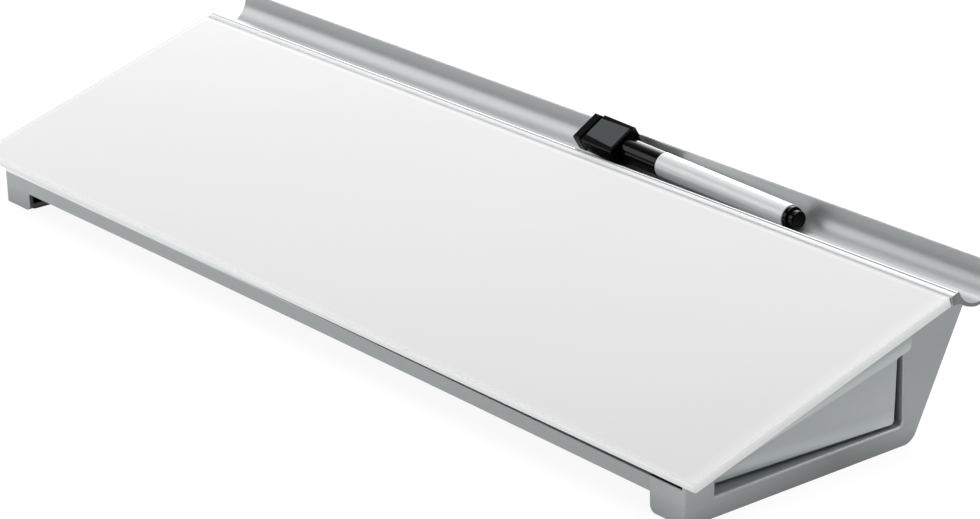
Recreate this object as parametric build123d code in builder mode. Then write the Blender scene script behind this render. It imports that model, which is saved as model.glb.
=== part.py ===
from build123d import *
import os
from math import sin, cos, tan, radians, sqrt

os.makedirs("parts", exist_ok=True)

# ---------------------------------------------------------------------------
# Desk whiteboard easel: a glass writing board on a wedge-shaped base, a pen
# channel along the rear edge, a drawer in the right-hand end, and a dry marker
# with an eraser cap lying in the channel.
# X runs along the length (+X is the drawer end), Y runs from front to rear,
# Z is up from the desk.  The origin is the middle of the bounding box, on the
# desk.  All sizes are millimetres.
# ---------------------------------------------------------------------------

# --- writing board -----------------------------------------------------------
slope = 16.42            # angle of the board above the desk
board_len = 458.2        # glass length, a nominal 18 in
board_depth = 123.5      # glass size up the slope
board_thk = 4.0
board_corner = 1.1
board_arris = 0.4        # polished edge chamfer
board_low_z = 17.24      # height of the underside at the front edge
board_over = 3.99        # how far the underside stands in front of the base
steel_thk = 0.6
tape_thk = 1.0
deck_thk = 2.2

# --- base --------------------------------------------------------------------
front_y = -65.8          # front face of the base
base_half = 219.3        # half length of the base
side_wall = 1.6
shell = 1.9
foot_in = 201.0          # inner edge of each end frame
base_low_z = 0.15        # plastic underside; the rubber pads reach z = 0
rail_low = 7.8           # lower edge at the ends ...
rail_low_mid = 8.35      # ... and at the middle of its shallow arch
rail_top = 13.65         # below the open slot under the glass
rail_top_closed = 14.75  # where the slot has run out
slot_taper = (-60.0, 190.0)
sill_z = 7.75
plate = 1.5
rear_foot_y = 105.4      # rear edge at desk level, behind the front face
rear_lean = 0.53         # rear edge leans back by this much per mm of height
rear_round = 6.5
toe_round = 2.6
open_front = 12.9
open_rear = 100.9
open_round = 2.0
deck_low_h = -steel_thk - tape_thk - deck_thk

# --- drawer ------------------------------------------------------------------
box_left = -70.0
box_right = 209.9
box_front = 14.6
box_rear = 97.6
box_low_z = 8.15
box_wall = 1.8
box_top_h = -7.4
tab_top_h = -4.7
drawer_travel = 210.0
divider_x = 60.0
face_front = 13.8
face_rear = 97.68
face_low_z = 8.95         # at the front ...
face_low_rise = 0.15      # ... and this much higher at the rear
face_top_h = -4.3
face_wall = 2.2
face_x = 219.45          # outer face at its upper rear corner ...
face_toe = 0.062         # ... turning in towards the front
face_lean = 0.054        # ... and towards the bottom
lip_low_h = -12.8
lip_out = 2.3
lip_front = 17.0
lip_rear = 101.6
lip_clear_x = 219.6

# --- pen channel -------------------------------------------------------------
tray_half = 229.2
tray_screw_x = (-180.0, -60.0, 60.0, 180.0)
tray_screw_y = 116.6

# --- marker ------------------------------------------------------------------
barrel_r = 4.85
barrel_bore = 3.9
cap_end = (40.0, 127.59, 58.65)     # a point on the axis, at the cap
plug_end = (130.0, 127.13, 56.01)   # a point on the axis, at the tail
cap_roll = 30.7                     # the cap lies rolled towards the writer

TH = radians(slope)
cs, sn, tn = cos(TH), sin(TH), tan(TH)


def at(y, z):
    """A point of a side profile: y counted from the front face."""
    return (front_y + y, z)


def under(y, h=0.0):
    """Height, at y, of the plane parallel to the board h above its underside."""
    return board_low_z + (y + board_over) * tn + h / cs


def rear(z, inward=0.0):
    """y of the leaning rear edge at height z."""
    return rear_foot_y + rear_lean * z - inward * sqrt(1 + rear_lean**2)


board = Plane(
    origin=(0, front_y - board_over, board_low_z),
    x_dir=(1, 0, 0),
    z_dir=(0, -sn, cs),
)
board_normal = Axis((0, 0, 0), (0, -sn, cs))

# ---------------------------------------------------------------------------
# Writing board: glass, steel sheet, bonding tape
# ---------------------------------------------------------------------------
with BuildPart() as glass_panel:
    with BuildSketch(board) as glass_outline:
        with Locations((0, board_depth / 2)):
            Rectangle(board_len, board_depth)
        fillet(glass_outline.vertices(), radius=board_corner)
    extrude(amount=board_thk)
    chamfer(
        glass_panel.faces().sort_by(board_normal)[-1].edges()
        + glass_panel.faces().sort_by(board_normal)[0].edges(),
        length=board_arris,
    )
glass_panel.part.label = "glass_panel"

with BuildPart() as steel_backing:
    with BuildSketch(board.offset(-steel_thk)) as steel_outline:
        with Locations((0, 62.4)):
            Rectangle(434.0, 112.0)
        fillet(steel_outline.vertices(), radius=3.0)
    extrude(amount=steel_thk)
steel_backing.part.label = "steel_backing"

with BuildPart() as bond_tape:
    with BuildSketch(board.offset(-steel_thk - tape_thk)):
        with Locations((0, 12.0), (0, 45.0), (0, 78.0), (0, 111.0)):
            Rectangle(428.0, 9.0)
    extrude(amount=tape_thk)
bond_tape.part.label = "bond_tape"

# ---------------------------------------------------------------------------
# Pen channel: one extruded profile.  A solid nose behind the glass, a round
# trough, a crease where the rear wall starts, and a thin upright lip.
# ---------------------------------------------------------------------------
with BuildPart() as pen_tray:
    with BuildSketch(Plane.YZ.offset(-tray_half)):
        with BuildLine():
            Line(at(114.85, 52.35), at(113.98, 55.35))
            Line(at(113.98, 55.35), at(114.5, 55.85))
            Line(at(114.5, 55.85), at(116.3, 56.5))
            ThreePointArc(at(116.3, 56.5), at(117.0, 56.72), at(117.55, 56.5))
            Line(at(117.55, 56.5), at(117.9, 55.95))
            ThreePointArc(at(117.9, 55.95), at(120.75, 52.3), at(125.7, 50.45))
            ThreePointArc(at(125.7, 50.45), at(127.6, 50.62), at(129.4, 51.2))
            ThreePointArc(at(129.4, 51.2), at(132.6, 54.2), at(134.5, 58.8))
            Line(at(134.5, 58.8), at(135.25, 62.15))
            ThreePointArc(at(135.25, 62.15), at(136.03, 62.66), at(136.6, 61.95))
            Line(at(136.6, 61.95), at(135.8, 58.5))
            ThreePointArc(at(135.8, 58.5), at(133.6, 53.3), at(130.0, 50.0))
            ThreePointArc(at(130.0, 50.0), at(127.8, 49.3), at(125.6, 49.12))
            ThreePointArc(at(125.6, 49.12), at(122.2, 49.95), at(119.2, 51.35))
            Line(at(119.2, 51.35), at(118.3, 51.95))
            Line(at(118.3, 51.95), at(114.85, 52.35))
        make_face()
    extrude(amount=2 * tray_half)
    with BuildSketch(Plane.XY.offset(51.0)):
        with Locations(*[(x, front_y + tray_screw_y) for x in tray_screw_x]):
            Circle(1.1)
    extrude(amount=4.2, mode=Mode.SUBTRACT)
pen_tray.part.label = "pen_tray"

# Everything above the underside of the pen channel; trims what carries it.
with BuildPart() as tray_space:
    with BuildSketch(Plane.YZ.offset(-240)):
        with BuildLine():
            Line(at(112.0, 52.35), at(114.85, 52.35))
            Line(at(114.85, 52.35), at(118.3, 51.95))
            Line(at(118.3, 51.95), at(119.2, 51.35))
            ThreePointArc(at(119.2, 51.35), at(122.2, 49.95), at(125.6, 49.12))
            ThreePointArc(at(125.6, 49.12), at(127.8, 49.3), at(130.0, 50.0))
            ThreePointArc(at(130.0, 50.0), at(133.6, 53.3), at(135.8, 58.5))
            Line(at(135.8, 58.5), at(140.0, 70.0))
            Line(at(140.0, 70.0), at(112.0, 70.0))
            Line(at(112.0, 70.0), at(112.0, 52.35))
        make_face()
    extrude(amount=480)

# ---------------------------------------------------------------------------
# End frames: thin outer wall up to the glass, foot wall at the front, hollow
# skid with a sill on top, jamb walls, and a return wall up the leaning rear
# edge with a ledge for the deck and a web under the pen channel.
# ---------------------------------------------------------------------------
frame_outline = [
    at(0, base_low_z),
    at(0, under(0)),
    at(114.47, under(114.47)),
    at(114.85, 52.35),
    at(116.0, 56.0),
    at(126.0, 56.0),
    at(131.0, 52.3),
    at(rear(52.3), 52.3),
    at(rear(base_low_z), base_low_z),
]
outline_heel = at(rear(base_low_z), base_low_z)
over_deck = [
    at(-6.0, under(-6.0, deck_low_h)),
    at(113.3, under(113.3, deck_low_h)),
    at(113.3, under(113.3) + 3.0),
    at(-6.0, under(-6.0) + 40.0),
]
over_deck_left = [
    at(shell, under(shell, deck_low_h)),
    at(113.3, under(113.3, deck_low_h)),
    at(113.3, under(113.3) + 3.0),
    at(shell, under(shell) + 40.0),
]
front_slot = [at(-1, rail_top), at(shell, rail_top), at(shell, 22), at(-1, 22)]
pad_recess = [at(shell, -1), at(shell, plate), at(97.0, plate), at(97.0, -1)]
skid_front = [at(shell, 3.1), at(34.2, 3.1), at(34.2, 6.25), at(shell, 6.25)]
skid_mid = [at(35.7, 3.1), at(69.2, 3.1), at(69.2, 6.25), at(35.7, 6.25)]
skid_rear = [at(70.7, 3.1), at(103.0, 3.1), at(105.8, 6.25), at(70.7, 6.25)]
post_front = [at(shell, sill_z), at(11.7, sill_z), at(11.7, 40), at(shell, 40)]
doorway = [
    at(open_front, sill_z),
    at(open_front, under(open_front, deck_low_h)),
    at(open_rear, under(open_rear, deck_low_h)),
    at(open_rear, sill_z),
]
ledge_low = deck_low_h - 2.0
post_rear = [
    at(102.06, sill_z),
    at(rear(sill_z, shell), sill_z),
    at(rear(46.6, shell), 46.6),
    at(125.6, 47.0),
    at(122.0, 47.9),
    at(118.9, 49.6),
    at(115.3, 49.6),
    at(115.3, under(115.3, ledge_low)),
    at(102.06, under(102.06, ledge_low)),
]

with BuildPart() as end_frame_right:
    with BuildSketch(Plane.YZ.offset(base_half - side_wall)) as right_wall:
        with BuildLine():
            Polyline(*frame_outline, close=True)
        make_face()
        fillet(right_wall.vertices().sort_by_distance(outline_heel)[0], radius=rear_round)
        with BuildLine():
            Polyline(*doorway, close=True)
        make_face(mode=Mode.SUBTRACT)
        fillet(right_wall.vertices().sort_by_distance(doorway[3])[0], radius=open_round)
    extrude(amount=side_wall)
    with BuildSketch(Plane.YZ.offset(foot_in)) as right_shell:
        with BuildLine():
            Polyline(*frame_outline, close=True)
        make_face()
        fillet(right_shell.vertices().sort_by_distance(outline_heel)[0], radius=rear_round)
        for hollow in (over_deck, front_slot, pad_recess, skid_front, skid_mid,
                       skid_rear, post_front, post_rear, doorway):
            with BuildLine():
                Polyline(*hollow, close=True)
            make_face(mode=Mode.SUBTRACT)
        fillet(right_shell.vertices().sort_by_distance(doorway[3])[0], radius=open_round)
    extrude(amount=base_half - side_wall - foot_in)
    add(tray_space.part, mode=Mode.SUBTRACT)
    # rounded inner toe of the foot
    with BuildSketch(Plane.XZ.offset(-(front_y + shell))):
        with BuildLine():
            Polyline((foot_in, base_low_z + toe_round), (foot_in - 1, base_low_z + toe_round),
                     (foot_in - 1, base_low_z - 1), (foot_in + toe_round, base_low_z - 1),
                     (foot_in + toe_round, base_low_z))
            RadiusArc((foot_in + toe_round, base_low_z), (foot_in, base_low_z + toe_round),
                      toe_round)
        make_face()
    extrude(amount=shell + 0.5, mode=Mode.SUBTRACT)
    # soft front corner, soft outer sill edge
    fillet(
        end_frame_right.edges().filter_by(Axis.Z).sort_by_distance(
            (base_half, front_y, 8.0))[0],
        radius=0.8,
    )
    fillet(
        end_frame_right.edges().filter_by(Axis.Y).sort_by_distance(
            (base_half, front_y + 50, sill_z))[0],
        radius=0.6,
    )
end_frame_right.part.label = "end_frame_right"

with BuildPart() as end_frame_left:
    with BuildSketch(Plane.YZ.offset(-base_half)) as left_wall:
        with BuildLine():
            Polyline(*frame_outline, close=True)
        make_face()
        fillet(left_wall.vertices().sort_by_distance(outline_heel)[0], radius=rear_round)
    extrude(amount=side_wall)
    with BuildSketch(Plane.YZ.offset(-base_half + side_wall)) as left_shell:
        with BuildLine():
            Polyline(*frame_outline, close=True)
        make_face()
        fillet(left_shell.vertices().sort_by_distance(outline_heel)[0], radius=rear_round)
        for hollow in (over_deck_left, pad_recess, skid_front, skid_mid,
                       skid_rear, post_front, post_rear, doorway):
            with BuildLine():
                Polyline(*hollow, close=True)
            make_face(mode=Mode.SUBTRACT)
    extrude(amount=base_half - side_wall - foot_in)
    add(tray_space.part, mode=Mode.SUBTRACT)
    with BuildSketch(Plane.XZ.offset(-(front_y + shell))):
        with BuildLine():
            Polyline((-foot_in, base_low_z + toe_round), (1 - foot_in, base_low_z + toe_round),
                     (1 - foot_in, base_low_z - 1), (-foot_in - toe_round, base_low_z - 1),
                     (-foot_in - toe_round, base_low_z))
            RadiusArc((-foot_in - toe_round, base_low_z), (-foot_in, base_low_z + toe_round),
                      -toe_round)
        make_face()
    extrude(amount=shell + 0.5, mode=Mode.SUBTRACT)
    fillet(
        end_frame_left.edges().filter_by(Axis.Z).sort_by_distance(
            (-base_half, front_y, 8.0))[0],
        radius=0.8,
    )
end_frame_left.part.label = "end_frame_left"

# ---------------------------------------------------------------------------
# Front rail, floor, rear panel and top deck between the end frames
# ---------------------------------------------------------------------------
with BuildPart() as front_rail:
    with BuildSketch(Plane.XZ.offset(-(front_y + shell))):
        with BuildLine():
            Polyline((-foot_in, rail_low), (-foot_in, rail_top_closed),
                     (slot_taper[0], rail_top_closed), (slot_taper[1], rail_top),
                     (foot_in, rail_top), (foot_in, rail_low))
            ThreePointArc((foot_in, rail_low), (0, rail_low_mid), (-foot_in, rail_low))
        make_face()
    extrude(amount=shell)
front_rail.part.label = "front_rail"

deck_post_x = (-180.0, 0.0, 180.0)
deck_post_y = (8.6, 103.2)
deck_posts = [(x, front_y + y) for x in deck_post_x for y in deck_post_y]

with BuildPart() as floor_panel:
    with BuildSketch(Plane.YZ.offset(-foot_in)):
        with BuildLine():
            Polyline(at(shell, 7.9), at(4.6, 6.25), at(109.4, 6.25), at(109.4, sill_z),
                     at(3.1, sill_z), at(3.1, 12.4), at(shell, 12.4), close=True)
        make_face()
    extrude(amount=2 * foot_in)
    with BuildSketch(Plane.XY.offset(6.0)):
        with Locations(*deck_posts):
            Circle(1.4)
    extrude(amount=2.0, mode=Mode.SUBTRACT)
floor_panel.part.label = "floor_panel"

with BuildPart() as rear_panel:
    with BuildSketch(Plane.YZ.offset(-foot_in)):
        with BuildLine():
            Polyline(
                at(rear(sill_z, shell), sill_z),
                at(rear(sill_z), sill_z),
                at(rear(52.3), 52.3),
                at(131.0, 52.3),
                at(126.0, 56.0),
                at(116.0, 56.0),
                at(114.85, 52.35),
                at(114.47, under(114.47)),
                at(113.3, under(113.3)),
                at(113.3, under(113.3, deck_low_h)),
                at(108.0, under(108.0, deck_low_h)),
                at(108.0, under(108.0, ledge_low)),
                at(115.3, under(115.3, ledge_low)),
                at(115.3, 49.6),
                at(118.9, 49.6),
                at(122.0, 47.9),
                at(125.6, 47.0),
                at(rear(46.6, shell), 46.6),
                close=True,
            )
        make_face()
    extrude(amount=2 * foot_in)
    add(tray_space.part, mode=Mode.SUBTRACT)
    with BuildSketch(Plane.XY.offset(48.0)):
        with Locations(*[(x, front_y + tray_screw_y) for x in tray_screw_x]):
            Circle(1.1)
    extrude(amount=6.0, mode=Mode.SUBTRACT)
rear_panel.part.label = "rear_panel"

with BuildPart() as top_deck:
    with BuildSketch(board.offset(deck_low_h)):
        with Locations((0, (6.0 + 120.6) / 2)):
            Rectangle(2 * (base_half - side_wall), 120.6 - 6.0)
    extrude(amount=deck_thk)
    # front downstand, closing the slot above the rail
    with BuildSketch(Plane.YZ.offset(-(base_half - side_wall))):
        with BuildLine():
            Polyline(at(3.2, sill_z), at(5.0, sill_z),
                     at(5.0, under(5.0, deck_low_h + 0.5)),
                     at(3.2, under(3.2, deck_low_h + 0.5)), close=True)
        make_face()
    extrude(amount=2 * (base_half - side_wall))
    # screw posts down to the floor
    with BuildSketch(Plane.XY.offset(sill_z)):
        with Locations(*deck_posts):
            Circle(2.8)
    extrude(until=Until.NEXT, mode=Mode.ADD)
    with BuildSketch(Plane.XY.offset(sill_z)):
        with Locations(*deck_posts):
            Circle(1.1)
    extrude(amount=6.5, mode=Mode.SUBTRACT)
top_deck.part.label = "top_deck"

with BuildPart() as deck_screws:
    with BuildSketch(Plane.XY.offset(6.25)):
        with Locations(*deck_posts):
            Circle(1.05)
    extrude(amount=7.0)
    with BuildSketch(Plane.XY.offset(5.05)):
        with Locations(*deck_posts):
            Circle(2.4)
    extrude(amount=1.2)
    with BuildSketch(Plane.XY.offset(5.05)):
        with Locations(*deck_posts):
            Rectangle(2.6, 0.6)
            Rectangle(0.6, 2.6)
    extrude(amount=0.7, mode=Mode.SUBTRACT)
deck_screws.part.label = "deck_screws"

with BuildPart() as tray_screws:
    with BuildSketch(Plane.XY.offset(49.6)):
        with Locations(*[(x, front_y + tray_screw_y) for x in tray_screw_x]):
            Circle(1.05)
    extrude(amount=5.2)
    with BuildSketch(Plane.XY.offset(48.6)):
        with Locations(*[(x, front_y + tray_screw_y) for x in tray_screw_x]):
            Circle(1.25)
    extrude(amount=1.0)
tray_screws.part.label = "tray_screws"

with BuildPart() as drawer_guide_front:
    with BuildSketch(Plane.YZ.offset(-foot_in)):
        with BuildLine():
            Polyline(at(12.4, sill_z), at(14.2, sill_z), at(14.2, 12.6),
                     at(12.4, 12.6), close=True)
        make_face()
    extrude(amount=2 * foot_in)
drawer_guide_front.part.label = "drawer_guide_front"

with BuildPart() as drawer_guide_rear:
    with BuildSketch(Plane.YZ.offset(-foot_in)):
        with BuildLine():
            Polyline(at(98.0, sill_z), at(99.8, sill_z), at(99.8, 18.0),
                     at(98.0, 18.0), close=True)
        make_face()
    extrude(amount=2 * foot_in)
drawer_guide_rear.part.label = "drawer_guide_rear"

stop_x = box_left + box_wall + drawer_travel + 0.3
with BuildPart() as drawer_stop:
    with BuildSketch(Plane.YZ.offset(stop_x)):
        with BuildLine():
            Polyline(at(50.0, under(50.0, deck_low_h)), at(62.0, under(62.0, deck_low_h)),
                     at(62.0, under(62.0, -6.8)), at(50.0, under(50.0, -6.8)), close=True)
        make_face()
    extrude(amount=5.0)
drawer_stop.part.label = "drawer_stop"

# ---------------------------------------------------------------------------
# Rubber pads, one in each end of the two skids
# ---------------------------------------------------------------------------
pad_mid_x = (foot_in + base_half - side_wall) / 2 + 0.4
pad_w = 15.2

with BuildPart() as foot_pad_front_left:
    with BuildSketch(Plane.XY) as pad_fl:
        with Locations((-pad_mid_x, front_y + 13.0)):
            Rectangle(pad_w, 21.6)
        fillet(pad_fl.vertices(), radius=2.0)
    extrude(amount=plate)
    chamfer(foot_pad_front_left.faces().sort_by(Axis.Z)[0].edges(), length=0.3)
foot_pad_front_left.part.label = "foot_pad_front_left"

with BuildPart() as foot_pad_front_right:
    with BuildSketch(Plane.XY) as pad_fr:
        with Locations((pad_mid_x, front_y + 13.0)):
            Rectangle(pad_w, 21.6)
        fillet(pad_fr.vertices(), radius=2.0)
    extrude(amount=plate)
    chamfer(foot_pad_front_right.faces().sort_by(Axis.Z)[0].edges(), length=0.3)
foot_pad_front_right.part.label = "foot_pad_front_right"

with BuildPart() as foot_pad_rear_left:
    with BuildSketch(Plane.XY) as pad_rl:
        with Locations((-pad_mid_x, front_y + 84.5)):
            Rectangle(pad_w, 21.6)
        fillet(pad_rl.vertices(), radius=2.0)
    extrude(amount=plate)
    chamfer(foot_pad_rear_left.faces().sort_by(Axis.Z)[0].edges(), length=0.3)
foot_pad_rear_left.part.label = "foot_pad_rear_left"

with BuildPart() as foot_pad_rear_right:
    with BuildSketch(Plane.XY) as pad_rr:
        with Locations((pad_mid_x, front_y + 84.5)):
            Rectangle(pad_w, 21.6)
        fillet(pad_rr.vertices(), radius=2.0)
    extrude(amount=plate)
    chamfer(foot_pad_rear_right.faces().sort_by(Axis.Z)[0].edges(), length=0.3)
foot_pad_rear_right.part.label = "foot_pad_rear_right"

# ---------------------------------------------------------------------------
# Drawer: box with a sloping top edge, divider, front panel with a pull lip
# ---------------------------------------------------------------------------
box_mid_x = (box_left + box_right) / 2
box_mid_y = front_y + (box_front + box_rear) / 2
front_screws = ((40.0, 14.6), (88.0, 14.6), (88.0, 30.0))   # y, z

with BuildPart() as drawer_box:
    with BuildSketch(Plane.XY.offset(box_low_z)) as box_outer:
        with Locations((box_mid_x, box_mid_y)):
            RectangleRounded(box_right - box_left, box_rear - box_front, 2.5)
    extrude(amount=40.0)
    with BuildSketch(Plane.XY.offset(box_low_z + box_wall)) as box_inner:
        with Locations((box_mid_x, box_mid_y)):
            RectangleRounded(box_right - box_left - 2 * box_wall,
                             box_rear - box_front - 2 * box_wall, 1.2)
    extrude(amount=40.0, mode=Mode.SUBTRACT)
    split(bisect_by=board.offset(box_top_h), keep=Keep.BOTTOM)
    # raised tab on the back wall, meets the stop under the deck
    with BuildSketch(Plane.YZ.offset(box_left)):
        with BuildLine():
            Polyline(at(48.0, 12.0), at(64.0, 12.0), at(64.0, under(64.0, tab_top_h)),
                     at(48.0, under(48.0, tab_top_h)), close=True)
        make_face()
    extrude(amount=box_wall)
    # screw holes for the front panel
    with BuildSketch(Plane.YZ.offset(box_right - 4.0)):
        with Locations(*[at(y, z) for y, z in front_screws]):
            Circle(1.3)
    extrude(amount=6.0, mode=Mode.SUBTRACT)
drawer_box.part.label = "drawer_box"

with BuildPart() as drawer_divider:
    with BuildSketch(Plane.YZ.offset(divider_x)):
        with BuildLine():
            y0, y1 = box_front + box_wall, box_rear - box_wall
            Polyline(at(y0, box_low_z + box_wall), at(y1, box_low_z + box_wall),
                     at(y1, under(y1, -9.6)), at(y0, under(y0, -9.6)), close=True)
        make_face()
    extrude(amount=1.6)
drawer_divider.part.label = "drawer_divider"

# outer face of the front panel: turned in towards the front and the bottom
face_point = (face_x, front_y + 98.0, 34.3)
face_plane = Plane(origin=face_point, x_dir=(face_toe, 1, 0),
                   z_dir=(1, -face_toe, -face_lean))
along = (face_toe * cs + face_lean * sn, cs, sn)      # in the face, up the slope
out_dir = (1, -along[0] * cs, -along[0] * sn)         # square to it, outwards
face_rise = (face_toe * sn - face_lean * cs) * -1.0   # face leans out per mm of h

panel_outline = [
    at(face_front, face_low_z),
    at(face_front, under(face_front, face_top_h)),
    at(face_rear, under(face_rear, face_top_h)),
    at(face_rear, face_low_z + face_low_rise),
]
pocket_outline = [
    at(face_front + face_wall, face_low_z + face_wall),
    at(face_front + face_wall, under(face_front + face_wall, face_top_h - 2.4)),
    at(face_rear - face_wall, under(face_rear - face_wall, face_top_h - 2.4)),
    at(face_rear - face_wall, face_low_z + face_wall),
]

# hollow behind the face, with pillars left for the screws
with BuildPart() as panel_hollow:
    with BuildSketch(Plane.YZ.offset(box_right - 1.0)):
        with BuildLine():
            Polyline(*pocket_outline, close=True)
        make_face()
        with Locations(*[at(y, z) for y, z in front_screws]):
            Circle(3.0, mode=Mode.SUBTRACT)
    extrude(amount=12.0)
    split(bisect_by=face_plane.offset(-face_wall), keep=Keep.BOTTOM)

# pull lip: a cove springing from the face out to a thick edge, drawn square to
# its length and run up the slope
lip_start_y = 12.0
lip_h0 = lip_low_h
lip_origin_y = front_y + lip_start_y
lip_origin_z = under(lip_start_y, lip_h0)
lip_origin_x = (face_x + face_toe * (lip_start_y - 98.0)
                + face_lean * (lip_origin_z - 34.3))
lip_plane = Plane(origin=(lip_origin_x, lip_origin_y, lip_origin_z),
                  x_dir=out_dir, z_dir=along)


def face_o(h):
    """Outward position of the face, in the lip's own section, at height h."""
    return face_rise * (h - lip_h0)


def lip_pt(out, h):
    """Point of the lip's section: out from the face, h below the board."""
    return (face_o(h) + out, -(h - lip_h0))


with BuildPart() as lip_run:
    with BuildSketch(lip_plane):
        with BuildLine():
            Line(lip_pt(-1.4, -12.8), lip_pt(0.0, -12.8))
            ThreePointArc(lip_pt(0.0, -12.8), lip_pt(0.55, -11.55), lip_pt(1.75, -10.75))
            ThreePointArc(lip_pt(1.75, -10.75), lip_pt(2.15, -10.55), lip_pt(2.3, -10.15))
            Line(lip_pt(2.3, -10.15), lip_pt(2.3, -4.75))
            ThreePointArc(lip_pt(2.3, -4.75), lip_pt(2.17, -4.43), lip_pt(1.85, -4.3))
            Line(lip_pt(1.85, -4.3), lip_pt(-1.4, -4.3))
            Line(lip_pt(-1.4, -4.3), lip_pt(-1.4, -12.8))
        make_face()
    extrude(amount=100.0)

with BuildPart() as pull_lip:
    with BuildSketch(Plane.YZ.offset(210.0)) as lip_side:
        with BuildLine():
            Polyline(
                at(lip_front, under(lip_front, -13.2)),
                at(99.0, under(99.0, -13.2)),
                at(99.0, under(99.0, -10.75)),
                at(lip_rear, under(lip_rear, -10.75)),
                at(lip_rear, under(lip_rear, -3.0)),
                at(lip_front, under(lip_front, -3.0)),
                close=True,
            )
        make_face()
        fillet(lip_side.vertices().sort_by_distance(
            at(lip_rear, under(lip_rear, -10.75)))[0], radius=2.4)
        fillet(lip_side.vertices().sort_by_distance(
            at(lip_front, under(lip_front, -13.2)))[0], radius=2.0)
    extrude(amount=20.0)
    add(lip_run.part, mode=Mode.INTERSECT)
    # clear of the end frame behind the panel
    with BuildSketch(Plane.XY.offset(20.0)):
        with Locations((lip_clear_x - 5.0, front_y + 103.0)):
            Rectangle(10.0, 10.0)
    extrude(amount=40.0, mode=Mode.SUBTRACT)

with BuildPart() as drawer_front:
    with BuildSketch(Plane.YZ.offset(box_right)) as panel_sketch:
        with BuildLine():
            Polyline(*panel_outline, close=True)
        make_face()
        fillet(panel_sketch.vertices().sort_by_distance(panel_outline[3])[0], radius=1.6)
        fillet(panel_sketch.vertices().sort_by_distance(panel_outline[0])[0], radius=0.8)
    extrude(amount=14.0)
    split(bisect_by=face_plane, keep=Keep.BOTTOM)
    add(panel_hollow.part, mode=Mode.SUBTRACT)
    add(pull_lip.part)
    with BuildSketch(Plane.YZ.offset(box_right)):
        with Locations(*[at(y, z) for y, z in front_screws]):
            Circle(1.05)
    extrude(amount=2.4, mode=Mode.SUBTRACT)
drawer_front.part.label = "drawer_front"

with BuildPart() as drawer_front_screws:
    with BuildSketch(Plane.YZ.offset(box_right - box_wall)):
        with Locations(*[at(y, z) for y, z in front_screws]):
            Circle(1.0)
    extrude(amount=box_wall + 2.2)
    with BuildSketch(Plane.YZ.offset(box_right - box_wall - 1.1)):
        with Locations(*[at(y, z) for y, z in front_screws]):
            Circle(2.2)
    extrude(amount=1.1)
drawer_front_screws.part.label = "drawer_front_screws"

# ---------------------------------------------------------------------------
# Marker.  Sections are drawn square to its axis; local x is across the cap,
# local y is the cap's own up.  Stations are counted along the axis from the
# point that lies at X = 40.
# ---------------------------------------------------------------------------
axis_dir = Vector(plug_end[0] - cap_end[0], plug_end[1] - cap_end[1],
                  plug_end[2] - cap_end[2]).normalized()
axis_zero = Vector(cap_end[0], front_y + cap_end[1], cap_end[2])
across = (0, cos(radians(cap_roll)), sin(radians(cap_roll)))


def station(x):
    """Plane square to the marker's axis, where the axis crosses this X."""
    return Plane(origin=axis_zero + axis_dir * ((x - cap_end[0]) / axis_dir.X),
                 x_dir=across, z_dir=axis_dir)


pad_floor = 4.6
pad_up = station(0.0).y_dir
pad_plane = Plane(
    origin=station(0.0).origin + pad_up * pad_floor,
    x_dir=axis_dir,
    z_dir=pad_up,
)


def run(length):
    """Distance along the axis that covers this length in X."""
    return length / axis_dir.X


with BuildPart() as marker_barrel:
    with BuildSketch(station(62.45)):
        Circle(barrel_r)
        Circle(barrel_bore, mode=Mode.SUBTRACT)
    extrude(amount=run(71.15))
    chamfer(marker_barrel.edges().filter_by(GeomType.CIRCLE).filter_by(
        lambda e: e.radius > 4.5), length=0.2)
marker_barrel.part.label = "marker_barrel"

with BuildPart() as marker_end_plug:
    with BuildSketch(station(133.6)):
        Circle(4.5)
    extrude(amount=run(1.9))
    with BuildSketch(station(135.5)):
        Circle(3.6)
    extrude(amount=run(2.9))
    with BuildSketch(station(128.0)):
        Circle(barrel_bore)
    extrude(amount=run(5.6))
    fillet(marker_end_plug.edges().filter_by(GeomType.CIRCLE).filter_by(
        lambda e: 3.5 < e.radius < 3.7).sort_by(Axis.X)[-1], radius=0.7)
    fillet(marker_end_plug.edges().filter_by(GeomType.CIRCLE).filter_by(
        lambda e: 4.4 < e.radius < 4.6).sort_by(Axis.X)[-1], radius=0.4)
marker_end_plug.part.label = "marker_end_plug"

with BuildPart() as marker_section:
    with BuildSketch(station(52.0)):
        Circle(3.75)
    extrude(amount=run(15.0))
    with BuildSketch(station(62.45)):
        Circle(barrel_bore)
    extrude(amount=run(4.55))
    with BuildSketch(station(52.0)):
        Circle(3.75)
    with BuildSketch(station(45.0)):
        Circle(2.3)
    loft()
    with BuildSketch(station(44.0)):
        Circle(1.5)
    extrude(amount=run(24.0), mode=Mode.SUBTRACT)
marker_section.part.label = "marker_section"

with BuildPart() as marker_nib:
    with BuildSketch(station(40.5)):
        Circle(1.5)
    extrude(amount=run(26.5))
    fillet(marker_nib.edges().filter_by(GeomType.CIRCLE).sort_by(Axis.X)[0], radius=1.1)
marker_nib.part.label = "marker_nib"

with BuildPart() as ink_reservoir:
    with BuildSketch(station(67.0)):
        Circle(3.6)
    extrude(amount=run(61.0))
ink_reservoir.part.label = "ink_reservoir"

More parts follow.
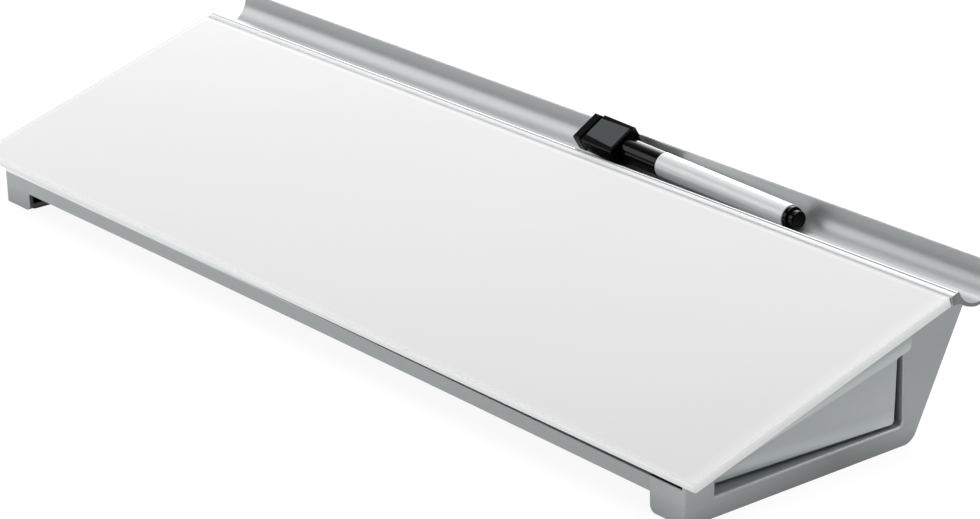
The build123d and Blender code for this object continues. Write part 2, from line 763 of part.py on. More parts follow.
# Cap: end plate, waist, block with raised finger grips, round neck.
cap_half = 6.9
grip_half = 7.3
shoulder = 5.3
grip_top = 5.75
end_plate_section = [
    (-2.6, -5.6), (-4.6, -4.0), (-cap_half, -1.6), (-cap_half, shoulder),
    (cap_half, shoulder), (cap_half, -1.6), (4.6, -4.0), (2.6, -5.6),
]
waist_section = [
    (-2.4, -5.3), (-4.3, -3.8), (-5.9, -1.6), (-5.9, 4.4),
    (5.9, 4.4), (5.9, -1.6), (4.3, -3.8), (2.4, -5.3),
]
grip_section = [
    (-2.6, -5.6), (-4.6, -4.0), (-6.7, -1.6), (-6.7, 0.6), (-grip_half, 1.0),
    (-grip_half, grip_top), (grip_half, grip_top), (grip_half, 1.0), (6.7, 0.6),
    (6.7, -1.6), (4.6, -4.0), (2.6, -5.6),
]
block_start, waist_start, grip_start, neck_start = 18.0, 21.7, 23.4, 41.3
with BuildPart() as marker_cap:
    with BuildSketch(station(block_start)) as end_plate:
        with BuildLine():
            Polyline(*end_plate_section, close=True)
        make_face()
        fillet(end_plate.vertices().sort_by_distance((-cap_half, shoulder))[0], radius=0.7)
        fillet(end_plate.vertices().sort_by_distance((cap_half, shoulder))[0], radius=0.7)
    extrude(amount=run(waist_start - block_start))
    with BuildSketch(station(waist_start)):
        with BuildLine():
            Polyline(*waist_section, close=True)
        make_face()
    extrude(amount=run(grip_start - waist_start))
    with BuildSketch(station(grip_start)) as grip_block:
        with BuildLine():
            Polyline(*grip_section, close=True)
        make_face()
        fillet(grip_block.vertices().sort_by_distance((-grip_half, grip_top))[0], radius=0.5)
        fillet(grip_block.vertices().sort_by_distance((grip_half, grip_top))[0], radius=0.5)
    extrude(amount=run(neck_start - grip_start))
    with BuildSketch(station(neck_start)):
        Circle(barrel_r)
    extrude(amount=run(62.2 - neck_start))
    # bore for the nib and its holder
    with BuildSketch(station(36.0)):
        Circle(4.15)
    extrude(amount=run(30.0), mode=Mode.SUBTRACT)
    # recess for the eraser pad, widening towards the neck
    with BuildSketch(pad_plane) as pad_recess_outline:
        with BuildLine():
            Polyline((23.7, -4.55), (40.6, -5.75), (40.6, 5.75), (23.7, 5.15), close=True)
        make_face()
    extrude(amount=3.0, mode=Mode.SUBTRACT)
    # the magnet's seat under the pad
    with BuildSketch(station(24.0)):
        with Locations((0, 2.8)):
            Rectangle(7.1, 3.8)
    extrude(amount=run(10.2), mode=Mode.SUBTRACT)
    # finger ribs down both sides
    for step in range(9):
        with BuildSketch(station(24.8 + 1.8 * step)):
            with Locations((-grip_half, 3.1), (grip_half, 3.1)):
                Rectangle(0.6, 3.6)
        extrude(amount=run(0.8), mode=Mode.SUBTRACT)
marker_cap.part.label = "marker_cap"

with BuildPart() as cap_eraser:
    with BuildSketch(pad_plane):
        with BuildLine():
            Polyline((23.95, -4.3), (40.3, -5.4), (40.3, 5.4), (23.95, 4.9), close=True)
        make_face()
    extrude(amount=1.6)
    chamfer(cap_eraser.faces().sort_by(Axis((0, 0, 0), pad_up))[-1].edges(), length=0.15)
cap_eraser.part.label = "cap_eraser"

with BuildPart() as cap_magnet:
    with BuildSketch(station(24.1)):
        with Locations((0, 2.75)):
            Rectangle(7.0, 3.7)
    extrude(amount=run(10.0))
cap_magnet.part.label = "cap_magnet"

export_step(glass_panel.part, "parts/glass_panel.step")
export_step(steel_backing.part, "parts/steel_backing.step")
export_step(bond_tape.part, "parts/bond_tape.step")
export_step(pen_tray.part, "parts/pen_tray.step")
export_step(end_frame_right.part, "parts/end_frame_right.step")
export_step(end_frame_left.part, "parts/end_frame_left.step")
export_step(front_rail.part, "parts/front_rail.step")
export_step(floor_panel.part, "parts/floor_panel.step")
export_step(rear_panel.part, "parts/rear_panel.step")
export_step(top_deck.part, "parts/top_deck.step")
export_step(deck_screws.part, "parts/deck_screws.step")
export_step(tray_screws.part, "parts/tray_screws.step")
export_step(drawer_guide_front.part, "parts/drawer_guide_front.step")
export_step(drawer_guide_rear.part, "parts/drawer_guide_rear.step")
export_step(drawer_stop.part, "parts/drawer_stop.step")
export_step(foot_pad_front_left.part, "parts/foot_pad_front_left.step")
export_step(foot_pad_front_right.part, "parts/foot_pad_front_right.step")
export_step(foot_pad_rear_left.part, "parts/foot_pad_rear_left.step")
export_step(foot_pad_rear_right.part, "parts/foot_pad_rear_right.step")
export_step(drawer_box.part, "parts/drawer_box.step")
export_step(drawer_divider.part, "parts/drawer_divider.step")
export_step(drawer_front.part, "parts/drawer_front.step")
export_step(drawer_front_screws.part, "parts/drawer_front_screws.step")
export_step(marker_barrel.part, "parts/marker_barrel.step")
export_step(marker_end_plug.part, "parts/marker_end_plug.step")
export_step(marker_section.part, "parts/marker_section.step")
export_step(marker_nib.part, "parts/marker_nib.step")
export_step(ink_reservoir.part, "parts/ink_reservoir.step")
export_step(marker_cap.part, "parts/marker_cap.step")
export_step(cap_eraser.part, "parts/cap_eraser.step")
export_step(cap_magnet.part, "parts/cap_magnet.step")
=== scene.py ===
import math

import bpy
from mathutils import Matrix, Vector

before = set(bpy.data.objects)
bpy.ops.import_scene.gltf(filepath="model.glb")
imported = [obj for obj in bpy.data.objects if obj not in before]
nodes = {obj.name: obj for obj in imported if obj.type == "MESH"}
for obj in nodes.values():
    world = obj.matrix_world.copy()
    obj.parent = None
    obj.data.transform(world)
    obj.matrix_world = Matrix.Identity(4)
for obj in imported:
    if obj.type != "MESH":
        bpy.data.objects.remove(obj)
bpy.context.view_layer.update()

MM = 0.001
FRONT_Y = -65.8 * MM
TH = math.radians(16.42)


# ---------------------------------------------------------------------------
# Node helpers
# ---------------------------------------------------------------------------
def new_material(name):
    m = bpy.data.materials.new(name)
    m.use_nodes = True
    nt = m.node_tree
    nt.nodes.clear()
    out = nt.nodes.new("ShaderNodeOutputMaterial")
    bsdf = nt.nodes.new("ShaderNodeBsdfPrincipled")
    nt.links.new(bsdf.outputs["BSDF"], out.inputs["Surface"])
    return m, nt, bsdf


def obj_coords(nt, scale=(1.0, 1.0, 1.0)):
    tc = nt.nodes.new("ShaderNodeTexCoord")
    mp = nt.nodes.new("ShaderNodeMapping")
    mp.inputs["Scale"].default_value = scale
    nt.links.new(tc.outputs["Object"], mp.inputs["Vector"])
    return mp.outputs["Vector"]


def noise(nt, vec, scale, detail=3.0, rough=0.5, distort=0.0):
    n = nt.nodes.new("ShaderNodeTexNoise")
    n.inputs["Scale"].default_value = scale
    n.inputs["Detail"].default_value = detail
    n.inputs["Roughness"].default_value = rough
    n.inputs["Distortion"].default_value = distort
    nt.links.new(vec, n.inputs["Vector"])
    return n.outputs["Fac"]


def ramp(nt, fac, stops, interpolation="LINEAR"):
    r = nt.nodes.new("ShaderNodeValToRGB")
    r.color_ramp.interpolation = interpolation
    els = r.color_ramp.elements
    while len(els) > len(stops):
        els.remove(els[-1])
    while len(els) < len(stops):
        els.new(0.5)
    for e, (p, c) in zip(els, stops):
        e.position = p
        e.color = c if len(c) == 4 else (*c, 1.0)
    nt.links.new(fac, r.inputs["Fac"])
    return r.outputs["Color"]


def math_node(nt, op, a, b=None, clamp=False):
    m = nt.nodes.new("ShaderNodeMath")
    m.operation = op
    m.use_clamp = clamp
    for i, v in enumerate((a, b)):
        if v is None:
            continue
        if isinstance(v, (int, float)):
            m.inputs[i].default_value = v
        else:
            nt.links.new(v, m.inputs[i])
    return m.outputs[0]


def map_range(nt, v, a, b, c, d):
    m = nt.nodes.new("ShaderNodeMapRange")
    m.inputs["From Min"].default_value = a
    m.inputs["From Max"].default_value = b
    m.inputs["To Min"].default_value = c
    m.inputs["To Max"].default_value = d
    nt.links.new(v, m.inputs["Value"])
    return m.outputs["Result"]


def mix_color(nt, fac, a, b, blend="MIX"):
    m = nt.nodes.new("ShaderNodeMix")
    m.data_type = "RGBA"
    m.blend_type = blend
    if isinstance(fac, (int, float)):
        m.inputs["Factor"].default_value = fac
    else:
        nt.links.new(fac, m.inputs["Factor"])
    for key, v in (("A", a), ("B", b)):
        s = [i for i in m.inputs if i.name == key and i.type == "RGBA"][0]
        if isinstance(v, tuple):
            s.default_value = v if len(v) == 4 else (*v, 1.0)
        else:
            nt.links.new(v, s)
    return [o for o in m.outputs if o.type == "RGBA"][0]


def bump(nt, height, strength, distance, normal=None):
    b = nt.nodes.new("ShaderNodeBump")
    b.inputs["Strength"].default_value = strength
    b.inputs["Distance"].default_value = distance
    nt.links.new(height, b.inputs["Height"])
    if normal is not None:
        nt.links.new(normal, b.inputs["Normal"])
    return b.outputs["Normal"]


def assign(mat, *names):
    for n in names:
        o = nodes[n]
        if not o.material_slots:
            o.data.materials.append(mat)
        for s in o.material_slots:
            s.link = "OBJECT"
            s.material = mat


def split_xyz(nt, vec):
    sp = nt.nodes.new("ShaderNodeSeparateXYZ")
    nt.links.new(vec, sp.inputs[0])
    return sp.outputs[0], sp.outputs[1], sp.outputs[2]


def position_mm(nt):
    """Object-space position in millimetres, Y measured from the front face."""
    x, y, z = split_xyz(nt, obj_coords(nt))
    return (math_node(nt, "MULTIPLY", x, 1000.0),
            math_node(nt, "MULTIPLY", math_node(nt, "SUBTRACT", y, FRONT_Y), 1000.0),
            math_node(nt, "MULTIPLY", z, 1000.0))


def shape_normal(nt):
    tc = nt.nodes.new("ShaderNodeTexCoord")
    return split_xyz(nt, tc.outputs["Normal"])


def step(nt, v, a, b):
    """0 below a, 1 above b (or the reverse when b < a)."""
    return map_range(nt, v, a, b, 0.0, 1.0)


def times(nt, *vals):
    out = vals[0]
    for v in vals[1:]:
        out = math_node(nt, "MULTIPLY", out, v)
    return out


def either(nt, *vals):
    out = vals[0]
    for v in vals[1:]:
        out = math_node(nt, "MAXIMUM", out, v)
    return out


def invert(nt, v):
    return math_node(nt, "SUBTRACT", 1.0, v)


def tone(nt, v, stops):
    """Brightness factor along a length in mm, straight between the stops."""
    lo, hi = stops[0][0], stops[-1][0]
    f = map_range(nt, v, lo, hi, 0.0, 1.0)
    col = ramp(nt, f, [((d - lo) / (hi - lo), (k, k, k)) for d, k in stops])
    return split_xyz(nt, col)[0]


def scaled(nt, colour, factor):
    g = nt.nodes.new("ShaderNodeCombineXYZ")
    for i in range(3):
        nt.links.new(factor, g.inputs[i])
    return mix_color(nt, 1.0, colour, g.outputs[0], "MULTIPLY")


def blend_value(nt, fac, a, b):
    """a where fac is 0, b where fac is 1."""
    return math_node(nt, "ADD", math_node(nt, "MULTIPLY", a, invert(nt, fac)),
                     math_node(nt, "MULTIPLY", b, fac))


# ---------------------------------------------------------------------------
# Finishes
# ---------------------------------------------------------------------------
def soft_edges(nt, radius, samples=6):
    """Normal that rounds sharp moulded corners over a small radius."""
    bv = nt.nodes.new("ShaderNodeBevel")
    bv.samples = samples
    bv.inputs["Radius"].default_value = radius
    return bv.outputs["Normal"]


def satin_paint(name, dark, light, rough=0.38, metallic=0.25, grain=1.0, edge=0.0004,
                specular=0.5, shade=None):
    """Fine silver paint on moulded plastic: tiny flakes, faint orange peel."""
    m, nt, b = new_material(name)
    v = obj_coords(nt)
    flakes = noise(nt, v, 9000.0, 2.0, 0.7)
    cloud = noise(nt, v, 26.0, 4.0, 0.55)
    f = math_node(nt, "ADD", math_node(nt, "MULTIPLY", flakes, 0.55),
                  math_node(nt, "MULTIPLY", cloud, 0.45))
    colour = ramp(nt, f, [(0.30, dark), (0.70, light)])
    nt.links.new(map_range(nt, cloud, 0.3, 0.7, rough - 0.03, rough + 0.04), b.inputs["Roughness"])
    b.inputs["Metallic"].default_value = metallic
    b.inputs["Specular IOR Level"].default_value = specular
    peel = noise(nt, v, 2600.0, 2.0, 0.5)
    rounded = soft_edges(nt, edge) if edge else None
    if shade:
        colour = shade(nt, colour, rounded)
    nt.links.new(colour, b.inputs["Base Color"])
    nt.links.new(bump(nt, peel, 0.06 * grain, 0.00008, rounded), b.inputs["Normal"])
    return m


def rim_light(nt, rounded, gain_top, gain_side):
    """Painted highlight: base colour brightened on rounded edges, by gain_top where they face
    outward and up, by gain_side where they turn to the side.
    """
    nx, ny, nz = split_xyz(nt, rounded)
    top = math_node(nt, "MULTIPLY", times(nt, nx, nz), 2.0, clamp=True)
    side = math_node(nt, "MULTIPLY", math_node(nt, "ABSOLUTE", times(nt, nx, ny)), 2.0, clamp=True)
    return math_node(nt, "ADD", 1.0, math_node(
        nt, "ADD", math_node(nt, "MULTIPLY", top, gain_top),
        math_node(nt, "MULTIPLY", side, gain_side)))


def painted_glass_edge_highlight(nt, x, z, ny):
    """Painted highlight along the top of the front wall where it closes up to the glass, strongest
    at the left end and fading out towards the right.
    """
    u = math_node(nt, "SUBTRACT", z, math_node(nt, "MULTIPLY", x, 0.00194))
    there = times(nt, step(nt, u, 14.0, 14.45), step(nt, ny, -0.5, -0.8))
    gain = tone(nt, x, [(-230.0, 1.4), (-100.0, 1.4), (120.0, 0.0)])
    return math_node(nt, "ADD", 1.0, times(nt, there, gain))


def rail_shade(nt, colour, rounded):
    x, y, z = position_mm(nt)
    nx, ny, nz = shape_normal(nt)
    # painted light: the rail a little lighter towards its left end
    along = tone(nt, x, [(-201.0, 1.2), (-180.0, 1.1), (201.0, 1.0)])
    return scaled(nt, colour, times(nt, along, painted_glass_edge_highlight(nt, x, z, ny)))


def frame_shade(nt, colour, rounded):
    """Silver outside with painted shade and highlights; painted shade, near black, on every inner
    face of the hollow feet and posts.
    """
    x, y, z = position_mm(nt)
    nx, ny, nz = shape_normal(nt)
    ax = math_node(nt, "ABSOLUTE", x)
    # painted shade: faces that are not outer faces are painted near black
    outer = either(
        nt,
        step(nt, ax, 218.9, 219.1),
        step(nt, y, 0.45, 0.2),
        times(nt, step(nt, ny, 0.2, 0.35), step(nt, y, 94.0, 95.0)),
        times(nt, step(nt, x, 200.0, 201.0), step(nt, z, 7.4, 7.6),
              step(nt, y, 12.6, 12.8), step(nt, y, 101.15, 100.95)),
    )
    # painted shade: jambs and the sill of the doorway darken inwards, with a painted highlight at
    # their outer edge
    jamb = times(nt, step(nt, z, 8.2, 9.5), step(nt, math_node(nt, "ABSOLUTE", ny), 0.4, 0.7),
                 step(nt, y, 12.6, 12.8), step(nt, y, 101.2, 101.0))
    deep = tone(nt, x, [(200.0, 0.1), (216.0, 0.4), (219.3, 1.4)])
    inward = blend_value(nt, jamb, 1.0, deep)
    # sill: painted highlight, brightest along its outer edge, then even to the back
    shelf = times(nt, step(nt, nz, 0.5, 0.8), step(nt, x, 200.5, 201.0), step(nt, z, 7.5, 7.65),
                  step(nt, z, 8.0, 7.85))
    inward = times(nt, inward, blend_value(nt, shelf, 1.0, tone(
        nt, x, [(213.0, 1.4), (217.5, 1.2), (219.3, 2.0)])))
    # painted shade on the two visible sides: lower bar deepening rearwards, toes of the front feet
    bar = tone(nt, y, [(0.0, 1.0), (70.0, 0.6), (110.0, 1.0)])
    face = step(nt, nx, 0.3, 0.7)
    bar = blend_value(nt, times(nt, face, step(nt, z, 11.0, 7.0)), 1.0, bar)
    # painted highlight on the side face just under the outer edge of the sill
    sill_edge_highlight = times(nt, face, step(nt, y, 12.6, 13.2), step(nt, y, 99.6, 98.6), step(nt, z, 8.3, 7.9))
    sill_edge_highlight = blend_value(nt, sill_edge_highlight, 1.0, tone(nt, z, [(6.8, 1.0), (7.75, 1.7)]))
    # painted highlight in a ring round the rounded heel of the doorway
    ry = math_node(nt, "SUBTRACT", y, 98.9)
    rz = math_node(nt, "SUBTRACT", z, 9.75)
    ring = math_node(nt, "SQRT", math_node(nt, "ADD", times(nt, ry, ry), times(nt, rz, rz)))
    ring = blend_value(nt, times(nt, step(nt, x, 218.2, 218.8), step(nt, y, 98.4, 99.2),
                                 step(nt, z, 10.0, 8.8)), 1.0,
                       tone(nt, ring, [(1.9, 1.4), (3.0, 1.0)]))
    # painted shade: the outward side faces darker towards the floor
    foot = tone(nt, z, [(0.0, 0.7), (6.0, 1.0)])
    bar = times(nt, bar, sill_edge_highlight, ring, blend_value(nt, face, 1.0, foot))
    # painted light and shade on the front faces: lighter towards the two ends, darker towards the
    # floor
    toe = times(nt, tone(nt, x, [(-219.3, 1.2), (-190.0, 1.1), (201.0, 1.1), (219.3, 1.2)]),
                tone(nt, z, [(0.0, 0.7), (9.0, 1.0)]))
    toe = blend_value(nt, step(nt, ny, -0.5, -0.8), 1.0, toe)
    lit = scaled(nt, colour, times(nt, inward, bar, toe, painted_glass_edge_highlight(nt, x, z, ny),
                                   rim_light(nt, rounded, 0.6, 0.06)))
    return mix_color(nt, outer, (0.020, 0.021, 0.021), lit)


def front_shade(nt, colour, rounded):
    """Drawer front: painted highlight on the pull lip and its side edges, painted shade under it;
    painted light low down and towards the front end.
    """
    x, y, z = position_mm(nt)
    cs, sn = math.cos(TH), math.sin(TH)
    h = math_node(nt, "SUBTRACT", math_node(nt, "MULTIPLY", z, cs),
                  math_node(nt, "MULTIPLY", y, sn))
    h = math_node(nt, "SUBTRACT", h, 17.24 * cs + 3.99 * sn)
    # painted highlight on the lip band, painted shade just below it and towards the glass above;
    # painted light towards the bottom and the front end
    lip = tone(nt, h, [(-30.0, 0.95), (-12.0, 0.85), (-10.3, 1.1), (-8.8, 1.1), (-6.5, 0.8)])
    low = tone(nt, z, [(9.0, 1.4), (15.0, 1.0)])
    fore = blend_value(nt, step(nt, z, 18.0, 11.0), 1.0,
                       tone(nt, y, [(14.0, 1.4), (80.0, 0.9)]))
    return scaled(nt, colour, times(nt, lip, low, fore, rim_light(nt, rounded, 0.0, 0.25)))


base_paint = satin_paint("satin_base", (0.345, 0.365, 0.367), (0.385, 0.405, 0.407))
rail_paint = satin_paint("satin_rail", (0.345, 0.365, 0.367), (0.385, 0.405, 0.407),
                         shade=rail_shade)
frame_paint = satin_paint("satin_frame", (0.345, 0.365, 0.367), (0.385, 0.405, 0.407),
                          edge=0.0006, shade=frame_shade)
drawer_paint = satin_paint("satin_drawer", (0.455, 0.485, 0.487), (0.495, 0.525, 0.527))
front_paint = satin_paint("satin_front", (0.455, 0.485, 0.487), (0.495, 0.525, 0.527),
                          shade=front_shade)
# painted shade: the hidden inner parts are near black, so gaps into the base read as shade
inner_plastic_painted_shade = satin_paint("moulded_grey_painted_shade", (0.020, 0.021, 0.021), (0.028, 0.029, 0.029),
                            rough=0.6, metallic=0.0, grain=2.5, edge=0.0)
# painted shade: the deck is near black, so the slot under the glass reads as shade
deck_plastic_painted_shade = satin_paint("moulded_black_painted_shade", (0.008, 0.008, 0.009), (0.012, 0.012, 0.013),
                           rough=0.62, metallic=0.0, grain=2.5, edge=0.0)


# painted shade across the pen channel (Y in mm from the front face): full on the bead, the wall
# and the rim, darker behind the nose, in the trough and in the crease
TRAY_PAINTED_SHADE = [(113.0, 1.0), (116.0, 1.0), (118.0, 0.6), (126.0, 0.7), (130.0, 1.0), (134.5, 0.8),
             (136.0, 1.0)]


def tray_metal():
    """Satin silver lacquer with faint lengthwise drawing lines."""
    m, nt, b = new_material("satin_tray")
    v = obj_coords(nt, (0.02, 1.0, 1.0))
    lines = noise(nt, v, 5200.0, 3.0, 0.6)
    v2 = obj_coords(nt)
    cloud = noise(nt, v2, 18.0, 3.0, 0.5)
    f = math_node(nt, "ADD", math_node(nt, "MULTIPLY", lines, 0.5),
                  math_node(nt, "MULTIPLY", cloud, 0.5))
    colour = ramp(nt, f, [(0.3, (0.56, 0.575, 0.58)), (0.7, (0.58, 0.595, 0.60))])
    # painted shade across the drawn profile; cut ends and undersides painted darker still
    x, y, z = position_mm(nt)
    nx, ny, nz = shape_normal(nt)
    across = tone(nt, y, TRAY_PAINTED_SHADE)
    cut = step(nt, math_node(nt, "ABSOLUTE", nx), 0.6, 0.8)
    under = step(nt, nz, -0.1, -0.3)
    k = blend_value(nt, either(nt, cut, under), across, blend_value(nt, cut, 0.8, 0.30))
    nt.links.new(scaled(nt, colour, k), b.inputs["Base Color"])
    # the nose behind the glass is rolled bright
    nose = times(nt, step(nt, y, 115.7, 116.3), step(nt, y, 119.5, 118.0))
    bead = step(nt, y, 115.4, 114.9)
    rough = blend_value(nt, nose, 0.36, 0.12)
    nt.links.new(math_node(nt, "ADD", rough, math_node(nt, "MULTIPLY", lines, 0.02)),
                 b.inputs["Roughness"])
    nt.links.new(blend_value(nt, nose, blend_value(nt, bead, 0.60, 0.25), 0.95),
                 b.inputs["Metallic"])
    nt.links.new(bump(nt, lines, 0.02, 0.00002, soft_edges(nt, 0.0003)), b.inputs["Normal"])
    return m


tray_mat = tray_metal()


def board_glass():
    """White back-painted glass: glossy top, painted highlights along the margins, finely ground
    edges with painted light.
    """
    m, nt, b = new_material("white_board_glass")
    cs, sn = math.cos(TH), math.sin(TH)
    y0, z0 = FRONT_Y - 3.99 * MM, 17.24 * MM
    pos = obj_coords(nt)
    sep = nt.nodes.new("ShaderNodeSeparateXYZ")
    nt.links.new(pos, sep.inputs[0])
    x_mm = math_node(nt, "MULTIPLY", sep.outputs["X"], 1000.0)

    def along_axis(ax, off):
        d = nt.nodes.new("ShaderNodeVectorMath")
        d.operation = "DOT_PRODUCT"
        nt.links.new(pos, d.inputs[0])
        d.inputs[1].default_value = tuple(1000.0 * a for a in ax)
        return math_node(nt, "SUBTRACT", d.outputs["Value"], off * 1000.0)

    s_mm = along_axis((0.0, cs, sn), y0 * cs + z0 * sn)      # up the slope
    h_mm = along_axis((0.0, -sn, cs), -y0 * sn + z0 * cs)    # through the thickness
    d_left = math_node(nt, "ADD", x_mm, 228.6)
    d_right = math_node(nt, "SUBTRACT", 228.6, x_mm)
    d_rear = math_node(nt, "SUBTRACT", 123.5, s_mm)

    def margin(dist, stops, span=8.0):
        """Brightness factor against the distance from one edge, in mm."""
        f = math_node(nt, "DIVIDE", dist, span, clamp=True)
        return ramp(nt, f, [(d / span, (k, k, k)) for d, k in stops])

    def product(a, b_):
        return mix_color(nt, 1.0, a, b_, "MULTIPLY")

    # painted highlights along the edges, with a darker line right at the left and rear edges
    left = margin(d_left, [(0.0, 0.9), (1.5, 1.1), (3.0, 1.0)])
    right = margin(d_right, [(0.0, 1.1), (6.0, 1.0)])
    front = margin(s_mm, [(0.0, 1.05), (2.5, 1.0)])
    rear = margin(d_rear, [(0.0, 0.75), (1.5, 1.1), (3.0, 1.0)])

    cloud = noise(nt, pos, 9.0, 2.0, 0.5)
    top = ramp(nt, cloud, [(0.3, (0.636, 0.636, 0.636)), (0.7, (0.648, 0.648, 0.648))])
    top = product(product(product(top, left), right), product(front, rear))
    # painted reflection: a little darker towards the right hand and the front edge
    top = scaled(nt, top, times(nt, tone(nt, x_mm, [(-228.0, 1.0), (228.0, 0.96)]),
                                tone(nt, s_mm, [(6.0, 0.96), (117.0, 1.0)])))
    speck = noise(nt, pos, 1300.0, 3.0, 0.65)
    # painted light: the ground edge lighter in its upper part
    by_height = ramp(nt, math_node(nt, "DIVIDE", h_mm, 4.0, clamp=True),
                     [(0.0, (0.80, 0.81, 0.81)), (0.4, (0.80, 0.81, 0.81)),
                      (0.75, (0.93, 0.94, 0.94)), (1.0, (0.93, 0.94, 0.94))])
    edge = product(by_height, ramp(nt, speck, [(0.36, (0.93, 0.93, 0.93)), (0.66, (1, 1, 1))]))
    tn = nt.nodes.new("ShaderNodeTexCoord")
    vt = nt.nodes.new("ShaderNodeVectorMath")
    vt.operation = "DOT_PRODUCT"
    nt.links.new(tn.outputs["Normal"], vt.inputs[0])
    vt.inputs[1].default_value = (0.0, -sn, cs)
    side = map_range(nt, math_node(nt, "ABSOLUTE", vt.outputs["Value"]), 0.75, 0.95, 1.0, 0.0)
    # painted shade: the ground arris a shade darker than the polished top, toning down its
    # highlight
    arris = tone(nt, math_node(nt, "ABSOLUTE", vt.outputs["Value"]),
                 [(0.0, 1.0), (0.12, 1.0), (0.4, 0.97), (0.85, 0.98), (0.99, 1.0)])
    colour = scaled(nt, mix_color(nt, side, top, edge), arris)
    nt.links.new(colour, b.inputs["Base Color"])
    # painted light: the ground edges glow a little through emission, standing in for light carried
    # inside the glass
    nt.links.new(colour, b.inputs["Emission Color"])
    nt.links.new(math_node(nt, "MULTIPLY", side, 0.10), b.inputs["Emission Strength"])
    nt.links.new(map_range(nt, side, 0.0, 1.0, 0.07, 0.34), b.inputs["Roughness"])
    nt.links.new(bump(nt, math_node(nt, "MULTIPLY", speck, side), 0.15, 0.00012),
                 b.inputs["Normal"])
    b.inputs["IOR"].default_value = 1.5
    return m


glass_mat = board_glass()


def gloss_plastic(name, dark, light, rough=0.14, coat=0.5, scale=60.0, specular=0.5,
                  shade=None):
    m, nt, b = new_material(name)
    v = obj_coords(nt)
    cloud = noise(nt, v, scale, 3.0, 0.5)
    colour = ramp(nt, cloud, [(0.3, dark), (0.7, light)])
    nt.links.new(shade(nt, colour) if shade else colour, b.inputs["Base Color"])
    nt.links.new(map_range(nt, cloud, 0.3, 0.7, rough, rough + 0.05), b.inputs["Roughness"])
    fine = noise(nt, v, 1400.0, 2.0, 0.5)
    nt.links.new(bump(nt, fine, 0.03, 0.00005), b.inputs["Normal"])
    b.inputs["Specular IOR Level"].default_value = specular
    b.inputs["Coat Weight"].default_value = coat
    b.inputs["Coat Roughness"].default_value = 0.05
    return m




def barrel_shade(nt, colour):
    """Marker barrel, painted light: lighter on the lower front side that faces the glass, a little
    darker around its middle.
    """
    nx, ny, nz = shape_normal(nt)
    t = math_node(nt, "ADD", math_node(nt, "MULTIPLY", ny, -0.54),
                  math_node(nt, "MULTIPLY", nz, -0.842))
    k = tone(nt, t, [(-1.0, 1.0), (-0.2, 0.9), (0.3, 1.2), (1.0, 1.2)])
    return scaled(nt, colour, k)


barrel_mat = gloss_plastic("marker_white", (0.735, 0.740, 0.748), (0.765, 0.770, 0.778), 0.14, 0.4,
                           shade=barrel_shade)
black_mat = gloss_plastic("marker_black", (0.0008, 0.0009, 0.001), (0.0016, 0.0018, 0.0019), 0.08,
                          0.0, specular=0.19)


def rubber(name, dark, light, rough=0.75):
    m, nt, b = new_material(name)
    v = obj_coords(nt)
    g = noise(nt, v, 3200.0, 3.0, 0.6)
    nt.links.new(ramp(nt, g, [(0.3, dark), (0.7, light)]), b.inputs["Base Color"])
    nt.links.new(map_range(nt, g, 0.3, 0.7, rough - 0.05, rough + 0.08), b.inputs["Roughness"])
    nt.links.new(bump(nt, g, 0.35, 0.0001), b.inputs["Normal"])
    return m


pad_mat = rubber("pad_rubber", (0.008, 0.008, 0.008), (0.016, 0.016, 0.016))
felt_mat = rubber("eraser_felt", (0.033, 0.039, 0.041), (0.048, 0.056, 0.058), 0.85)
nib_mat = rubber("nib_fibre", (0.010, 0.010, 0.012), (0.020, 0.020, 0.024), 0.8)
reservoir_mat = rubber("reservoir_fibre", (0.55, 0.55, 0.52), (0.70, 0.70, 0.67), 0.9)
tape_mat = rubber("bond_tape", (0.015, 0.015, 0.016), (0.03, 0.03, 0.032), 0.8)


def bare_metal(name, dark, light, rough):
    m, nt, b = new_material(name)
    v = obj_coords(nt)
    g = noise(nt, v, 900.0, 4.0, 0.6)
    nt.links.new(ramp(nt, g, [(0.3, dark), (0.7, light)]), b.inputs["Base Color"])
    nt.links.new(map_range(nt, g, 0.3, 0.7, rough - 0.05, rough + 0.08), b.inputs["Roughness"])
    b.inputs["Metallic"].default_value = 1.0
    nt.links.new(bump(nt, g, 0.08, 0.00005), b.inputs["Normal"])
    return m


steel_mat = bare_metal("backing_steel", (0.42, 0.42, 0.43), (0.52, 0.52, 0.53), 0.35)
screw_mat = bare_metal("screw_zinc", (0.45, 0.45, 0.47), (0.58, 0.58, 0.60), 0.30)
magnet_mat = bare_metal("sintered_magnet", (0.12, 0.12, 0.13), (0.18, 0.18, 0.19), 0.45)

assign(glass_mat, "glass_panel")
assign(steel_mat, "steel_backing")
assign(tape_mat, "bond_tape")
assign(tray_mat, "pen_tray")
assign(base_paint, "rear_panel")
assign(rail_paint, "front_rail")
assign(frame_paint, "end_frame_right", "end_frame_left")
assign(inner_plastic_painted_shade, "floor_panel", "drawer_guide_front", "drawer_guide_rear", "drawer_stop")
assign(deck_plastic_painted_shade, "top_deck")
assign(screw_mat, "deck_screws", "tray_screws", "drawer_front_screws")
assign(pad_mat, "foot_pad_front_left", "foot_pad_front_right", "foot_pad_rear_left",
       "foot_pad_rear_right")
assign(drawer_paint, "drawer_box", "drawer_divider")
assign(front_paint, "drawer_front")
assign(barrel_mat, "marker_barrel")
assign(black_mat, "marker_end_plug", "marker_section", "marker_cap")
assign(nib_mat, "marker_nib")
assign(reservoir_mat, "ink_reservoir")
assign(felt_mat, "cap_eraser")
assign(magnet_mat, "cap_magnet")

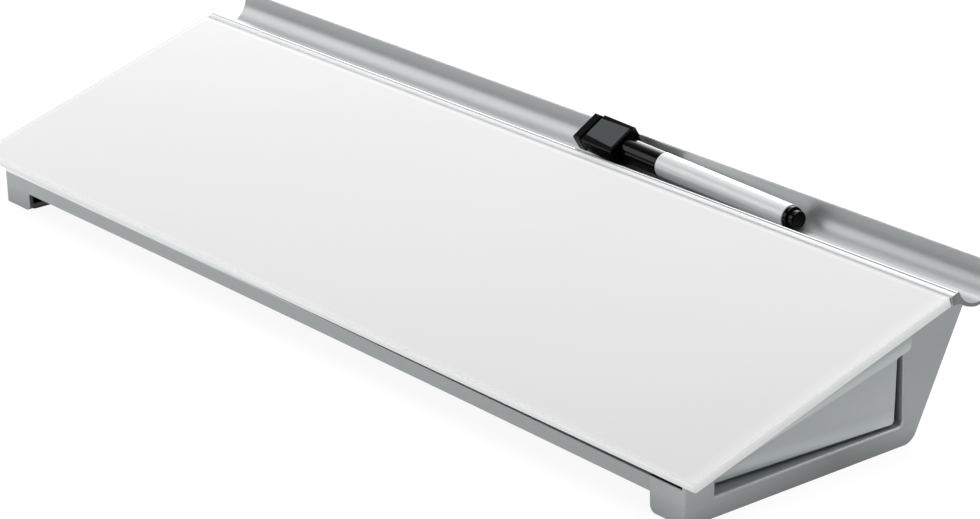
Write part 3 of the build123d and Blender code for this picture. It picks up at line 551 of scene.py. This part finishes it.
# ---------------------------------------------------------------------------
# Floor, light, camera
# ---------------------------------------------------------------------------
def floor():
    """Backlit white acrylic sheet, as under product photographs."""
    mesh = bpy.data.meshes.new("floor_mesh")
    r = 6.0
    mesh.from_pydata([(-r, -r, 0), (r, -r, 0), (r, r, 0), (-r, r, 0)], [], [(0, 1, 2, 3)])
    o = bpy.data.objects.new("floor", mesh)
    bpy.context.scene.collection.objects.link(o)
    m, nt, b = new_material("floor_white")
    v = obj_coords(nt)
    n = noise(nt, v, 3.0, 2.0, 0.5)
    nt.links.new(ramp(nt, n, [(0.3, (0.11, 0.11, 0.11)), (0.7, (0.125, 0.125, 0.125))]),
                 b.inputs["Base Color"])
    b.inputs["Roughness"].default_value = 0.9
    b.inputs["Specular IOR Level"].default_value = 0.0
    b.inputs["Emission Color"].default_value = (1.0, 1.0, 1.0, 1.0)
    b.inputs["Emission Strength"].default_value = 0.92
    mesh.materials.append(m)


floor()


def studio_world():
    """Dim room with one soft bright side, behind and to the left."""
    world = bpy.data.worlds.new("studio")
    bpy.context.scene.world = world
    world.use_nodes = True
    nt = world.node_tree
    bg = nt.nodes["Background"]
    tc = nt.nodes.new("ShaderNodeTexCoord")
    nrm = nt.nodes.new("ShaderNodeVectorMath")
    nrm.operation = "NORMALIZE"
    nt.links.new(tc.outputs["Generated"], nrm.inputs[0])
    dot = nt.nodes.new("ShaderNodeVectorMath")
    dot.operation = "DOT_PRODUCT"
    nt.links.new(nrm.outputs["Vector"], dot.inputs[0])
    dot.inputs[1].default_value = Vector((-0.75, 0.60, 0.22)).normalized()
    glow = ramp(nt, map_range(nt, dot.outputs["Value"], 0.60, 1.0, 0.0, 1.0),
                [(0.0, (0.09, 0.09, 0.09)), (0.45, (0.42, 0.42, 0.42)),
                 (0.72, (1.6, 1.6, 1.6)), (0.88, (4.6, 4.6, 4.6))], "EASE")
    nt.links.new(glow, bg.inputs["Color"])
    bg.inputs["Strength"].default_value = 1.0


studio_world()


def softbox(name, pos, target, size, size_y, radiance):
    d = bpy.data.lights.new(name, "AREA")
    d.shape = "RECTANGLE"
    d.size = size
    d.size_y = size_y
    d.energy = radiance * math.pi * size * size_y
    o = bpy.data.objects.new(name, d)
    bpy.context.scene.collection.objects.link(o)
    o.location = pos
    o.rotation_euler = (Vector(target) - Vector(pos)).to_track_quat("-Z", "Y").to_euler()
    return o


softbox("overhead", (0.0, 0.45, 2.0), (0, 0.3, 0), 2.6, 2.4, 3.0)
softbox("front_card", (-1.25, -0.85, 0.70), (0, 0, 0.03), 1.2, 0.8, 2.0)

# camera fitted to the photograph (980 x 519)
F_PX = 3534.394
AZ, EL, RO = math.radians(53.39935), math.radians(20.90705), math.radians(-2.25155)
DIST = 1374.448 * MM
CX, CY = 428.408, 257.388
target = Vector((0.0059 * MM, (60.0122 - 65.8) * MM, 20.0 * MM))
back = Vector((math.sin(AZ) * math.cos(EL), -math.cos(AZ) * math.cos(EL), math.sin(EL)))
right = (-back).cross(Vector((0, 0, 1))).normalized()
up = right.cross(-back)
r2 = right * math.cos(RO) + up * math.sin(RO)
u2 = -right * math.sin(RO) + up * math.cos(RO)
cam = bpy.data.cameras.new("photo_camera")
cam.sensor_fit = "HORIZONTAL"
cam.sensor_width = 36.0
cam.lens = F_PX * 36.0 / 980.0
cam.shift_x = (490.0 - CX) / 980.0
cam.shift_y = (CY - 259.5) / 980.0
cam.clip_start = 0.01
cam.clip_end = 50.0
cam_obj = bpy.data.objects.new("photo_camera", cam)
bpy.context.scene.collection.objects.link(cam_obj)
rot = Matrix((r2, u2, back)).transposed().to_4x4()
cam_obj.matrix_world = Matrix.Translation(target + back * DIST) @ rot
bpy.context.scene.camera = cam_obj
bpy.context.scene.view_settings.view_transform = "Standard"
bpy.context.scene.view_settings.look = "None"
